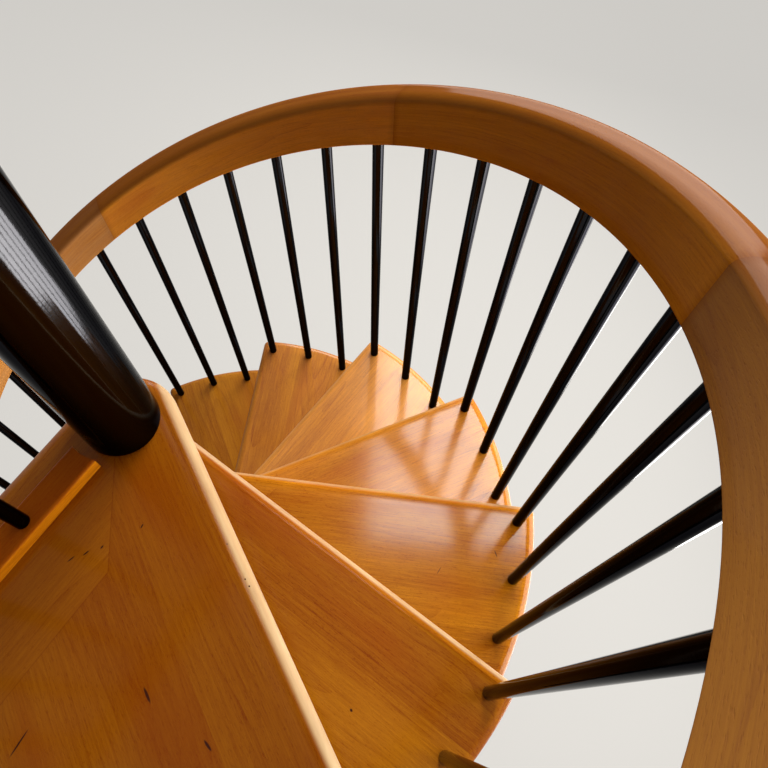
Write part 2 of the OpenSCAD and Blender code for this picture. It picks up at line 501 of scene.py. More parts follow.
# Patterns along, across and through the wood
PATCHES = Pattern((2.5, 20.0, 20.0), 1.0, limits=(0.38, 0.60))
FIBRES = Pattern((26.0, 480.0, 480.0))
LINES = Pattern((4.0, 230.0, 230.0), 3.0, 0.6)
FLECKS = Pattern((170.0, 620.0, 620.0), 1.0, limits=(0.56, 0.72))
CLOUDS = Pattern((2.6, 9.0, 9.0), 3.0)
RUDDY_SPOTS = Pattern((3.0, 10.0, 10.0), limits=(0.50, 0.74))
WANDER = Pattern((1.8, 9.0, 9.0))
RUBBING = Pattern((9.0, 60.0, 60.0), 3.0)

# Patterns on the paint, the steel and the floor
DULLED_PATCHES = Pattern((9.0, 9.0, 4.0), 4.0, 0.6)
ORANGE_PEEL = Pattern((240.0, 240.0, 240.0))
DUST = Pattern((900.0, 900.0, 900.0), 1.0, limits=(0.66, 0.80))
STREAKS = Pattern((700.0, 700.0, 30.0), 3.0)
STAINS = Pattern((22.0, 22.0, 22.0), 3.0)
FLOOR_CLOUDS = Pattern((1.5, 1.5, 1.5), 3.0)


@dataclass(frozen=True)
class BeechFinish:
    """Lacquered beech: glued staves with soft growth rings, fine pores and a satin coat."""

    name: str
    layup: Layup = Layup.SIDE_BY_SIDE
    stave: float = 0.115
    stave_shift: Point = (5.0, 1.3, 0.9)

    pale: Colour = (0.60, 0.230, 0.006)
    deep: Colour = (0.26, 0.052, 0.0)
    red: Colour = (0.32, 0.050, 0.0)
    # The cream is rubbed bare wood, and also the painted highlight of lit front edges
    cream_and_highlight: Colour = (0.57, 0.40, 0.220)
    # The end grain is darker wood, and also painted shade on the rims that the lamps light
    end_grain_and_shade: Colour = (0.20, 0.042, 0.0)
    # The patina is the dark of handled tops, and also painted shade on tops beside lit inner faces
    patina_and_shade: Colour = (0.135, 0.032, 0.001)
    mark: Colour = (0.045, 0.010, 0.004)

    # The growth rings and, for each stave, the place of the log's middle: across the piece or as a
    # share of the stave, and through the wood, where it leans away
    ring: float = 0.0060
    ring_power: float = 5.0
    ring_wander: float = 0.036
    band: float = 0.026
    pith_across: Flat = (0.01, 0.09)
    pith_share: Flat = (-0.1, 1.1)
    pith_depth: Flat = (0.015, 0.095)
    pith_lean: Flat = (-0.06, 0.06)
    heart: float = 0.022
    heart_blur: float = 0.006
    heart_red: float = 0.55

    # How dark the wood is between pale, 0, and deep, 1, and what each part of the figure adds
    dark: float = 0.36
    dark_limits: Flat = (-0.1, 1.1)
    contrast: float = 1.0
    stave_share: float = 0.30
    ring_share: float = 0.36
    band_share: float = 0.05
    fibre_share: float = 1.00
    line_share: float = 0.66
    cloud_share: float = 1.00
    fleck_share: float = 0.30
    joint_share: float = 0.35
    panel_joint: Flat = (0.0010, 0.0002)
    end_joint: Flat = (0.0012, 0.0004)
    blush: float = 0.42
    pallor: float = 0.5

    # Wear and painted light: the front edge, paled by wear and also by a painted highlight; the end
    # grain, darker, which also paints shade on lit rims; and the tops, darker from hands on the handrail
    # and from painted shade beside lit inner faces
    wear_and_highlight: bool = False
    rub: Flat = (0.35, 1.25)
    end_grain_and_shade_share: float = 0.5
    bare_edge: Flat = (0.026, 0.016)
    bare_share: float = 0.9
    handled_and_shaded: Optional[Flat] = None
    handled_and_shaded_share: float = 0.78
    marks: Tuple[Mark, ...] = ()
    mark_blur: Flat = (1.2, 0.35)
    panel: Optional[Panel] = None

    gloss: float = 0.03
    roughness: float = 0.36
    unevenness: float = 0.12
    coat: float = 0.7
    polish: float = 0.5
    coat_roughness: float = 0.12
    fibre_relief: float = 0.8
    fleck_relief: float = -0.7
    relief: float = 0.00012

    def figure(self, g: ShaderGraph, grain: Socket, seed: Socket) -> Tuple[Socket, Socket, Socket]:
        """Builds the wood's figure.

        Args:
            g: the material's tree.
            grain: place in the board, along, across and through it, in metres.
            seed: a number that differs from board to board.

        Returns:
            How dark the wood is, how red it is, and the height of its pores.
        """
        along, across, through = g.split(grain)
        steps = g.math("DIVIDE", through if self.layup is Layup.LAYERED else across, self.stave)
        stave = {"Vector": g.join(g.math("FLOOR", steps), seed, 0.0)}
        random = g.node("ShaderNodeTexWhiteNoise", stave, noise_dimensions="2D").outputs["Color"]
        chances = g.split(random)
        place = g.vector("ADD", grain, g.vector("MULTIPLY", random, self.stave_shift))
        radius = self._ring_radius(g, (along, across, through), steps, chances, place)
        phase = g.math("FRACT", g.math("DIVIDE", radius, self.ring))
        ring = g.math("MULTIPLY", g.math("POWER", phase, self.ring_power), g.spots(place, PATCHES))
        band = g.math("SINE", g.math("MULTIPLY", radius, 2 * math.pi / self.band))
        fibres = g.swing(place, FIBRES)
        flecks = g.spots(place, FLECKS)
        dark = g.math("MULTIPLY", g.math("SUBTRACT", chances[2], 0.5), self.stave_share)
        for part, share in (
            (ring, self.ring_share),
            (band, self.band_share),
            (fibres, self.fibre_share),
            (g.swing(place, LINES), self.line_share),
            (g.swing(place, CLOUDS), self.cloud_share),
            (flecks, self.fleck_share),
        ):
            dark = g.math("MULTIPLY_ADD", part, share, dark)
        dark = g.math("MULTIPLY_ADD", dark, self.contrast, self.dark)
        heart = g.remap(radius, self.heart + self.heart_blur, self.heart - self.heart_blur)
        ruddy = g.math("MAXIMUM", g.math("MULTIPLY", heart, self.heart_red), g.spots(place, RUDDY_SPOTS))
        height = g.math("MULTIPLY", flecks, self.fleck_relief)
        height = g.math("MULTIPLY_ADD", fibres, self.fibre_relief, height)
        return dark, ruddy, height

    def _ring_radius(
        self,
        g: ShaderGraph,
        where: Tuple[Socket, Socket, Socket],
        steps: Socket,
        chances: Sequence[Socket],
        place: Socket,
    ) -> Socket:
        """Returns the distance from the log's middle.

        Args:
            g: the material's tree.
            where: place along, across and through the board.
            steps: place across the staves, counted in staves.
            chances: three random numbers of the stave.
            place: the place for noise.

        Returns:
            The distance in metres.
        """
        along, across, through = where
        if self.layup is Layup.LAYERED:
            inside = g.math("SUBTRACT", across, g.spread(chances[0], self.pith_across))
        else:
            share = g.math("SUBTRACT", g.math("FRACT", steps), g.spread(chances[0], self.pith_share))
            inside = g.math("MULTIPLY", share, self.stave)
        lean = g.math("MULTIPLY", along, g.spread(chances[1], self.pith_lean))
        depth = g.math("ADD", g.spread(chances[2], self.pith_depth), g.math("ADD", through, lean))
        square = g.math("ADD", g.math("MULTIPLY", inside, inside), g.math("MULTIPLY", depth, depth))
        return g.math("MULTIPLY_ADD", g.swing(place, WANDER), self.ring_wander, g.math("SQRT", square))

    def _turned(self, g: ShaderGraph, grain: Socket) -> Tuple[Socket, Socket]:
        """Turns the grain inside the panel.

        Args:
            g: the material's tree.
            grain: place in the board.

        Returns:
            The grain's place, and how close the place is to a joint, from 0 to 1.
        """
        along, across, through = g.split(grain)
        sides = [
            g.math("MULTIPLY_ADD", along, a, g.math("MULTIPLY_ADD", across, b, c))
            for a, b, c in self.panel.joints
        ]
        edge = g.math("MAXIMUM", *sides)
        cos, sin = polar(1.0, self.panel.turn)
        shift = self.panel.shift
        other = g.join(
            g.math("MULTIPLY_ADD", along, cos, g.math("MULTIPLY", across, sin)),
            g.math("MULTIPLY_ADD", along, sin, g.math("MULTIPLY_ADD", across, -cos, shift)),
            through,
        )
        place = g.mix_vectors(g.math("GREATER_THAN", edge, 0.0), other, grain)
        return place, g.remap(g.math("ABSOLUTE", edge), *self.panel_joint)

    def _spot(self, g: ShaderGraph, board: Socket, seed: Socket, mark: Mark) -> Socket:
        """Returns where a mark lies, from 0 to 1.

        Args:
            g: the material's tree.
            board: place in the board.
            seed: the board's own number.
            mark: the mark.
        """
        cos, sin = polar(1.0, mark.turn)
        x, y, _ = g.split(g.vector("SUBTRACT", board, (mark.along, mark.across, 0.0)))
        turned = g.math("MULTIPLY", y, sin / mark.half_length)
        long = g.math("MULTIPLY_ADD", x, cos / mark.half_length, turned)
        turned = g.math("MULTIPLY", y, cos / mark.half_width)
        wide = g.math("MULTIPLY_ADD", x, -sin / mark.half_width, turned)
        square = g.math("MULTIPLY_ADD", long, long, g.math("MULTIPLY", wide, wide))
        spot = g.remap(square, *self.mark_blur)
        if mark.board:
            spot = g.math("MULTIPLY", spot, g.math("COMPARE", seed, float(mark.board)))
        return spot

    def _wear(
        self, g: ShaderGraph, board: Socket, across: Socket, colour: Socket
    ) -> Tuple[Socket, Socket]:
        """Rubs the finish off the front edge and off the end grain.

        The pale front edge is also a painted highlight, and the darker end grain also paints shade on
        the rims that the lamps light.

        Args:
            g: the material's tree.
            board: place in the board.
            across: place behind its front edge.
            colour: the wood's colour.

        Returns:
            The colour, and the weight of the coat.
        """
        strength, depth, end = g.split(g.attribute("rub"))
        # The pale front edge is wear and also a painted highlight
        rub = g.spread(g.noise(board, RUBBING), self.rub)
        edge = g.remap(across, depth, g.math("MULTIPLY", depth, 0.5))
        rub = g.math("MULTIPLY", g.math("MULTIPLY", edge, rub), strength, clamp=True)
        # End grain darkens: real, and also painted shade on lit rims
        colour = g.mix(g.math("MULTIPLY", end, self.end_grain_and_shade_share), colour, self.end_grain_and_shade)
        colour = g.mix(rub, colour, self.cream_and_highlight)
        bare = g.math("MAXIMUM", g.remap(across, *self.bare_edge), end)
        return colour, g.math("MULTIPLY_ADD", bare, -self.bare_share * self.coat, self.coat)

    def build(self) -> bpy.types.Material:
        """Returns the material."""
        g = ShaderGraph(self.name)
        tone_and_light, warm, seed = g.split(g.attribute("board"))
        board = g.attribute("grain")
        along, across, _ = g.split(board)
        grain, joint = self._turned(g, board) if self.panel else (board, None)
        dark, ruddy, height = self.figure(g, grain, seed)
        if self.layup is Layup.LAYERED:
            joint = g.remap(along, *self.end_joint)
        if joint:
            dark = g.math("MULTIPLY_ADD", joint, self.joint_share, dark)
        least, most = self.dark_limits
        dark = g.math("MAXIMUM", g.math("MINIMUM", dark, most), least)
        colour = g.mix(dark, self.pale, self.deep)
        colour.node.clamp_factor = False
        blush = g.math("MULTIPLY", g.math("ADD", ruddy, warm), self.blush, clamp=True)
        colour = g.mix(blush, colour, self.red)
        colour = g.mix(g.math("MULTIPLY", warm, -self.pallor, clamp=True), colour, self.cream_and_highlight)
        # Each board's brightness scales its colour, which also paints the light and shade on it
        colour = g.vector("SCALE", colour)
        g.feed(colour.node.inputs["Scale"], tone_and_light)
        coat: Value = self.coat
        if self.wear_and_highlight:
            colour, coat = self._wear(g, board, across, colour)
        # The top is darkened to the patina: hand wear on the handrail, and on the handrail and kerb also
        # painted shade beside their lit inner faces
        if self.handled_and_shaded:
            handled_and_shaded_top = g.remap(across, *self.handled_and_shaded)
            colour = g.mix(g.math("MULTIPLY", handled_and_shaded_top, self.handled_and_shaded_share), colour, self.patina_and_shade)
            coat = g.math("MULTIPLY_ADD", handled_and_shaded_top, self.polish - self.coat, coat)
        for mark in self.marks:
            colour = g.mix(self._spot(g, board, seed, mark), colour, self.mark)
        g.set(
            Base_Color=colour,
            Roughness=g.math("MULTIPLY_ADD", height, self.unevenness, self.roughness),
            Coat_Weight=coat,
            Coat_Roughness=self.coat_roughness,
            Specular_IOR_Level=self.gloss,
            Normal=g.bump(height, self.relief),
        )
        return g.material


@dataclass(frozen=True)
class BlackLacquer:
    """Glossy black paint on steel, with a faint orange peel, dulled patches and specks of dust.

    It is a weak, dark mirror. The edge is the share of its glancing reflection that is left, because
    a full one shows the lit wood as brown all over the shaded side.
    """

    name: str
    mirror: Colour = (0.045, 0.045, 0.048)
    dust_gain: float = 1.3
    edge: float = 0.36
    roughness: float = 0.10
    unevenness: float = 0.14
    relief: float = 0.00004

    def build(self) -> bpy.types.Material:
        """Returns the material."""
        g = ShaderGraph(self.name)
        where = g.node("ShaderNodeTexCoord").outputs["Object"]
        dust = tuple(channel * self.dust_gain for channel in self.mirror)
        least = self.roughness - self.unevenness / 2
        g.set(
            Base_Color=g.mix(g.spots(where, DUST), self.mirror, dust),
            Metallic=1.0,
            Roughness=g.math("MULTIPLY_ADD", g.noise(where, DULLED_PATCHES), self.unevenness, least),
            Specular_Tint=(self.edge, self.edge, self.edge, 1.0),
            Normal=g.bump(g.noise(where, ORANGE_PEEL), self.relief),
        )
        return g.material


@dataclass(frozen=True)
class SteelFinish:
    """Bare or zinc-plated steel with drawn streaks."""

    name: str
    colour: Colour = (0.50, 0.50, 0.49)
    stained: Colour = (0.36, 0.36, 0.3528)
    roughness: float = 0.34
    unevenness: float = 0.16
    relief: float = 0.00003

    def build(self) -> bpy.types.Material:
        """Returns the material."""
        g = ShaderGraph(self.name)
        where = g.node("ShaderNodeTexCoord").outputs["Object"]
        streaks = g.noise(where, STREAKS)
        least = self.roughness - self.unevenness / 2
        g.set(
            Base_Color=g.mix(g.noise(where, STAINS), self.colour, self.stained),
            Metallic=1.0,
            Roughness=g.math("MULTIPLY_ADD", streaks, self.unevenness, least),
            Normal=g.bump(streaks, self.relief),
        )
        return g.material


# The landing's front part has its grain along the front edge, and the strip at the back has it along
# the back edge
LANDING_PANEL = Panel(61.6, ((0.8797, -0.4756, -0.0890), (0.388, -0.921, 0.0736)))
LANDING_MARKS = (
    Mark(0.3440, 0.1660, 0.0105, 0.0019, -2.0),
    Mark(0.4268, 0.1238, 0.0080, 0.0018, -12.0),
    Mark(0.3236, 0.3126, 0.0175, 0.0011, 56.0),
    Mark(0.2747, 0.0109, 0.0013, 0.0011),
    Mark(0.2849, 0.0099, 0.0014, 0.0012),
    Mark(0.2238, 0.0135, 0.0011, 0.0009),
    Mark(0.1518, 0.1007, 0.0034, 0.0011, 50.0),
    Mark(0.1537, 0.1548, 0.0030, 0.0012, 60.0),
    Mark(0.1516, 0.1750, 0.0050, 0.0011, 75.0),
    Mark(0.1500, 0.1940, 0.0060, 0.0009, 75.0),
)
TREAD_MARKS = (
    Mark(0.4695, 0.1688, 0.0026, 0.0020, 20.0, 12),
    Mark(0.5784, 0.0970, 0.0070, 0.0010, 65.0, 11),
    Mark(0.4784, 0.1396, 0.0080, 0.0007, 115.0, 11),
)


# Wooden boards and bars

# Steps in a tread's rim and round the post, and in a board's rounded corners
RIM_STEPS = 28
CORNER_STEPS = 8

# How far a face turns towards the wood's length before it shows end grain
END_TURN = 0.2


@dataclass(frozen=True)
class Arc:
    """A rounded stretch of a board's outline, passed anticlockwise."""

    centre: Flat
    radius: float
    start: float
    end: float
    steps: int

    def ring(self, inset: float) -> List[Flat]:
        """Returns the arc's points when the whole outline is moved inwards by inset."""
        turns = [self.start + (self.end - self.start) * i / self.steps for i in range(self.steps + 1)]
        if inset <= self.radius:
            left = self.radius - inset
            return [self._at(turn, left) for turn in turns]
        half = math.radians(self.end - self.start) / 2
        apex = self._at((self.start + self.end) / 2, (self.radius - inset) / math.cos(half))
        return [apex] * len(turns)

    def _at(self, turn: float, distance: float) -> Flat:
        """Returns the point at a distance from the centre in a direction."""
        x, y = polar(distance, turn)
        return self.centre[0] + x, self.centre[1] + y


@dataclass
class Board:
    """A flat board with a bullnose all round and a bore for the post's core tube.

    Its front edge lies along +X, at the distance front from the bore's middle.
    """

    outline: List[Arc]
    front: float
    bore_r: float
    thickness: float
    edge_r: float = 0.018
    edge_steps: int = 7
    bore_steps: int = 48

    def shape(self) -> Shape:
        """Returns the board in its own frame, with its underside at z = 0."""
        made = Shape()
        rings: List[List[int]] = []
        for side in (0, 1):
            order = range(self.edge_steps + 1) if side == 0 else range(self.edge_steps, -1, -1)
            for k in order:
                a = math.pi / 2 * k / self.edge_steps
                rise = self.edge_r * (1 - math.cos(a))
                z = rise if side == 0 else self.thickness - rise
                flat = [p for arc in self.outline for p in arc.ring(self.edge_r * (1 - math.sin(a)))]
                rings.append(made.ring([(x, y, z) for x, y in flat]))
        for low, high in zip(rings, rings[1:]):
            made.bridge(low, high)
        bores = [made.ring(circle(self.bore_r, z, self.bore_steps)) for z in (0.0, self.thickness)]
        made.bridge(bores[1], bores[0])
        self._cap(made, rings[-1], bores[1], True)
        self._cap(made, rings[0], bores[0], False)
        return made

    def grain(self, p: Vector) -> Point:
        """Returns a point's place along, across and through the board."""
        return p.x, self.front - p.y, p.z

    @staticmethod
    def _cap(made: Shape, outer: List[int], inner: List[int], up: bool) -> None:
        """Fills the face between the outline and the bore.

        Args:
            made: the shape that gets the faces.
            outer: numbers of the outline's points.
            inner: numbers of the bore's points.
            up: True if the face looks up.
        """

        def turn(number: int) -> float:
            """Direction of a point from the middle of the bore."""
            return math.atan2(made.points[number][1], made.points[number][0]) % (2 * math.pi)

        out = sorted(outer, key=turn)
        ins = sorted(inner, key=turn)
        i, j = 0, 0
        while i < len(out) or j < len(ins):
            a, b = out[i % len(out)], ins[j % len(ins)]
            next_a, next_b = out[(i + 1) % len(out)], ins[(j + 1) % len(ins)]
            turn_a = turn(next_a) + (2 * math.pi if i + 1 >= len(out) else 0.0)
            turn_b = turn(next_b) + (2 * math.pi if j + 1 >= len(ins) else 0.0)
            if j >= len(ins) or (i < len(out) and turn_a <= turn_b):
                face = [a, next_a, b]
                i += 1
            else:
                face = [a, next_b, b]
                j += 1
            made.faces.append(face if up else face[::-1])


@dataclass
class Bar:
    """A straight bar with rounded edges, along +X from x = 0, with its underside at z = 0."""

    width: float
    height: float
    top_r: float
    low_r: float
    length: float
    step: float = 0.012
    least_r: float = 0.0001
    flats: int = 6
    corner_steps: int = 6
    start_round: float = 0.0
    end_round: float = 0.0
    cut_r: float = 0.0
    cut_y: float = 0.0

    def section(self, inset: float) -> List[Flat]:
        """Returns the section's points, moved inwards, over the top from left to right and back."""
        w = self.width / 2 - inset
        top_r = max(self.top_r - inset, self.least_r)
        low_r = max(self.low_r - inset, self.least_r)
        over = self._half(w, top_r, 1.0)
        under = self._half(w, low_r, -1.0)
        top = self.height - inset
        upper = [(y, top - top_r + z) for y, z in over]
        lower = [(y, inset + low_r + z) for y, z in under]
        return upper + lower[::-1]

    def _half(self, w: float, r: float, sign: float) -> List[Flat]:
        """Returns the points over one rounded side, from y = -w to y = w."""
        turns = [math.pi / 2 * i / self.corner_steps for i in range(self.corner_steps + 1)]
        left = [(-w + r - r * math.cos(a), sign * r * math.sin(a)) for a in turns]
        flat = [(-(w - r) + 2 * (w - r) * i / self.flats, sign * r) for i in range(1, self.flats)]
        right = [(-y, z) for y, z in reversed(left)]
        return left + flat + right

    def stations(self) -> List[Flat]:
        """Returns the places of the sections along the bar, each with its inset."""
        turns = [math.pi / 2 * i / self.corner_steps for i in range(self.corner_steps)]
        places = [self._rounded(self.start_round, a) for a in turns if self.start_round]
        first, last = self.start_round, self.length - self.end_round
        if self.cut_r:
            # The next section stands clear of the cut by a quarter of a step
            places.append((0.0, 0.0))
            first = self.cut_r + self.step / 4
        count = max(1, math.ceil((last - first) / self.step))
        places += [(first + (last - first) * i / count, 0.0) for i in range(count + 1)]
        ends = [self._rounded(self.end_round, a) for a in reversed(turns) if self.end_round]
        return places + [(self.length - way, inset) for way, inset in ends]

    @staticmethod
    def _rounded(radius: float, a: float) -> Flat:
        """Returns the way from a rounded end to a section, and the section's inset."""
        return radius * (1 - math.cos(a)), radius * (1 - math.sin(a))

    def shape(self) -> Shape:
        """Returns the bar. Where cut_r is set, its start is cut by a round post of that radius."""
        made = Shape()
        rings = []
        places = self.stations()
        for i, (x, inset) in enumerate(places):
            points = []
            for y, z in self.section(inset):
                start = x
                if i == 0 and self.cut_r:
                    start = math.sqrt(self.cut_r**2 - (y + self.cut_y) ** 2)
                points.append((start, y, z))
            rings.append(made.ring(points))
        for low, high in zip(rings, rings[1:]):
            made.bridge(high, low)
        self._cap(made, rings[0], True)
        self._cap(made, rings[-1], False)
        return made

    @staticmethod
    def _cap(made: Shape, ring: List[int], start: bool) -> None:
        """Closes an end by strips from the upper to the lower half of its ring."""
        half = len(ring) // 2
        upper, lower = ring[:half], ring[half:][::-1]
        for i in range(half - 1):
            face = [upper[i], upper[i + 1], lower[i + 1], lower[i]]
            made.faces.append(face[::-1] if start else face)

    def grain(self, p: Vector) -> Point:
        """Returns a point's place along, across and through the bar."""
        return p.x, p.z, p.y + self.width / 2


@dataclass(frozen=True)
class WoodPiece:
    """A wooden piece's name, the node that it stands for, its slot and the look of its wood.

    Its front edge is paled to cream over a band of the given depth behind it: wear, and also a
    painted highlight on the lit rounded edge. Its brightness also paints the light and shade on it.
    """

    name: str
    node: str
    slot: Slot
    tone_and_light: float = 1.0
    warm: float = 0.0
    seed: float = 0.0
    wear_and_highlight: float = 0.0
    wear_and_highlight_depth: float = 0.010

    def dress(self, mesh: bpy.types.Mesh, grain: Sequence[Point]) -> None:
        """Stores what the wood's material reads on a mesh whose grain runs along X.

        Args:
            mesh: the mesh, not yet turned or bent.
            grain: each point's place along, across and through the wood.
        """
        write_vectors(mesh, "grain", grain)
        write_vectors(mesh, "board", [(self.tone_and_light, self.warm, self.seed)] * len(grain))
        # Faces that turn to the wood's length show end grain, which is darkened, also as painted shade
        # on lit rims
        ends = [max(0.0, abs(vertex.normal.x) - END_TURN) / (1 - END_TURN) for vertex in mesh.vertices]
        # The rub values pale the front edge: wear, and also a painted highlight on lit edges
        write_vectors(mesh, "rub", [(self.wear_and_highlight, self.wear_and_highlight_depth, end) for end in ends])


def lay_wood(
    form: Union[Board, Bar],
    look: WoodPiece,
    direction: float,
    height: float,
    material: bpy.types.Material,
    offset: float = 0.0,
) -> None:
    """Turns a board or a bar to its direction, dresses it and hands it over.

    Args:
        form: the board or bar in its own frame.
        look: its name, node and wood.
        direction: direction of its own X axis.
        height: height of its underside.
        material: the wood's finish.
        offset: how far it lies to the left of its direction.
    """
    mesh = form.shape().mesh(look.name)
    local = [vertex.co.copy() for vertex in mesh.vertices]
    look.dress(mesh, [form.grain(p) for p in local])
    turn = Quaternion((0.0, 0.0, 1.0), math.radians(direction))
    for vertex, p in zip(mesh.vertices, local):
        vertex.co = turn @ (p + Vector((0.0, offset, 0.0))) + Vector((0.0, 0.0, height))
    mesh.materials.append(material)
    piece = add_object(look.name, mesh)
    even_shading(piece, WOOD_EDGE)
    publish(piece, look.slot, look.node)


@dataclass
class Treads:
    """The twelve winding treads."""

    flight: Flight
    radius: float = 0.650
    overlap: float = 0.040
    corner_r: float = 0.014
    # How bright each tread's wood is, how red (or, below 0, pale) it is, and how worn its front edge is,
    # from the floor up. The brightness also paints the light and shade on each tread, and the worn edge
    # also paints the highlight on lit front edges
    tones_and_light: Tuple[Point, ...] = (
        (1.00, 0.1, 0.6), (0.92, 0.4, 0.5), (1.06, 0.0, 0.5), (0.96, 0.2, 0.4),
        (1.04, 0.1, 0.3), (0.94, 0.3, 0.2), (0.72, -0.06, 0.1), (1.00, -0.2, 0.1),
        (1.28, -0.36, 0.2), (1.28, -0.1, 0.4), (1.14, 0.0, 0.6), (0.96, 0.4, 0.9),
    )

    def outline(self) -> List[Arc]:
        """Returns a tread's outline, with its front edge along +X and its body on the -Y side."""
        f = self.flight
        h = f.nosing_offset
        rim_turn = math.degrees(math.asin(h / self.radius))
        lap = math.degrees(math.asin(self.overlap / self.radius))
        span = f.step_angle + lap - 2 * rim_turn
        c = self.corner_r
        reach = self.radius - c
        turn = math.degrees(math.asin((h - c) / reach))
        return [
            Arc((0.0, 0.0), h, 90.0, 270.0 - span, RIM_STEPS),
            Arc(polar(reach, -span - turn), c, -span - 90.0, -span - turn, CORNER_STEPS),
            Arc((0.0, 0.0), self.radius, -span - turn, turn, RIM_STEPS),
            Arc(polar(reach, turn), c, turn, 90.0, CORNER_STEPS),
        ]

    def build(self, material: bpy.types.Material) -> None:
        """Makes one board a node.

        Args:
            material: the wood's finish.
        """
        f = self.flight
        board = Board(self.outline(), f.nosing_offset, f.core_r, f.board_t)
        for n in range(1, f.tread_count + 1):
            tone_and_light, warm, wear_and_highlight = self.tones_and_light[n - 1]
            name = f"tread_board_{n:02d}"
            look = WoodPiece(name, f"tread_{n:02d}", Slot.BEECH, tone_and_light, warm, float(n), wear_and_highlight)
            lay_wood(board, look, f.tread_dir(n), n * f.riser - f.board_t, material)


def helix_tree() -> GeometryGraph:
    """Builds the tree that bends a straight bar along the flight's helix.

    Returns:
        The tree. The bar's x is the way along the rail, at its middle.
    """
    g = GeometryGraph("follow_helix")
    radius = g.value("Radius")
    start = g.value("Start Turn")
    height = g.value("Start Height")
    rise = g.value("Rise Per Metre")
    x, y, z = g.split(g.node("GeometryNodeInputPosition").outputs[0])
    turn = g.math("SUBTRACT", start, g.math("DIVIDE", x, radius))
    reach = g.math("ADD", radius, y)
    place = g.join(
        g.math("MULTIPLY", reach, g.math("COSINE", turn)),
        g.math("MULTIPLY", reach, g.math("SINE", turn)),
        g.math("ADD", z, g.math("MULTIPLY_ADD", x, rise, height)),
    )
    moved = g.node("GeometryNodeSetPosition", {"Geometry": g.geometry, "Position": place})
    g.finish(moved.outputs[0])
    return g


@dataclass
class Handrail:
    """The helical handrail, in lengths that are glued end to end."""

    flight: Flight
    first_seed: float = 20.0
    # How bright each length's wood is, how red (or, below 0, pale) it is, and how worn its edge is.
    # The brightness and the wear also paint the light on each length: paler where lit, darker in shade
    tones_and_light: Tuple[Point, ...] = (
        (0.96, 0.2, 0.05), (1.04, 0.1, 0.1), (1.20, 0.1, 0.35),
        (1.40, 0.2, 0.12), (1.10, -0.06, 0.0), (0.77, -0.36, 0.0),
    )

    def build(self, material: bpy.types.Material) -> None:
        """Makes one piece a length.

        Args:
            material: the wood's finish.
        """
        f = self.flight
        tree = helix_tree()
        rise = f.riser / math.radians(f.step_angle) / f.baluster_r
        for m in range(1, f.rail_lengths + 1):
            start, end = f.joint_dir(m - 1), f.joint_dir(m)
            bar = Bar(
                f.rail_w, f.rail_h, f.rail_top_r, f.rail_low_r,
                math.radians(start - end) * f.baluster_r,
                start_round=f.rail_end_r if m == 1 else 0.0,
                end_round=f.rail_end_r if m == f.rail_lengths else 0.0,
            )
            tone_and_light, warm, wear_and_highlight = self.tones_and_light[m - 1]
            look = WoodPiece(
                f"handrail_length_{m}", f"handrail_{m}", Slot.RAIL,
                tone_and_light, warm, self.first_seed + m, wear_and_highlight, wear_and_highlight_depth=1.0,
            )
            mesh = bar.shape().mesh(look.name)
            look.dress(mesh, [bar.grain(vertex.co) for vertex in mesh.vertices])
            piece = add_object(look.name, mesh)
            tree.apply(
                piece,
                Radius=f.baluster_r,
                Start_Turn=math.radians(start),
                Start_Height=f.rail_z(start),
                Rise_Per_Metre=rise,
                Material=material,
            )
            even_shading(piece, WOOD_EDGE)
            publish(piece, look.slot, look.node)


